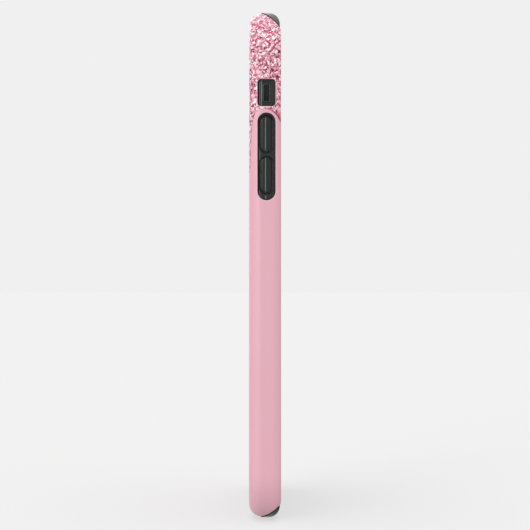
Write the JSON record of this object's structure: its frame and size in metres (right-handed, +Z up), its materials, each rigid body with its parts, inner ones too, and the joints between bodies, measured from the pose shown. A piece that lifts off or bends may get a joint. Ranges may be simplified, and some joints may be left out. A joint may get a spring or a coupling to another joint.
{
  "type": "phone case",
  "caption": "Slim protective phone case with a hard printed shell clipped over a soft black liner that has press-through button pads.",
  "frame": {"origin": "mount phone_pocket: the middle of the liner's floor, where the back of the phone that holds the case rests", "axes": "+Z up the case's length to the camera end, +Y out of the back, -Y out of the open screen side, -X out of the side with the mute and volume openings"},
  "size_m": [0.0824, 0.0102, 0.1632],
  "materials": {
    "shell": "satin pink print with a pink glitter pattern at the camera end",
    "liner": "satin soft moulding",
    "pads": "satin soft moulding"
  },
  "bodies": {
    "liner": {"liner": "liner", "volume_up_web": "liner", "volume_down_web": "liner", "side_web": "liner"},
    "shell": {"outer_shell": "shell"},
    "volume_up": {"volume_up_pad": "pads"},
    "volume_down": {"volume_down_pad": "pads"},
    "side_button": {"side_pad": "pads"}
  },
  "joints": [
    {"name": "shell_lift", "type": "slide", "parent": "liner", "child": "shell", "axis": [0, 1, 0], "range_m": [0, 0.014]},
    {"name": "volume_up_press", "type": "slide", "parent": "liner", "child": "volume_up", "axis": [1, 0, 0], "range_m": [0, 0.0004], "stiffness_N_per_m": 2000},
    {"name": "volume_down_press", "type": "slide", "parent": "liner", "child": "volume_down", "axis": [1, 0, 0], "range_m": [0, 0.0004], "stiffness_N_per_m": 2000},
    {"name": "side_press", "type": "slide", "parent": "liner", "child": "side_button", "axis": [-1, 0, 0], "range_m": [0, 0.0004], "stiffness_N_per_m": 2000}
  ]
}
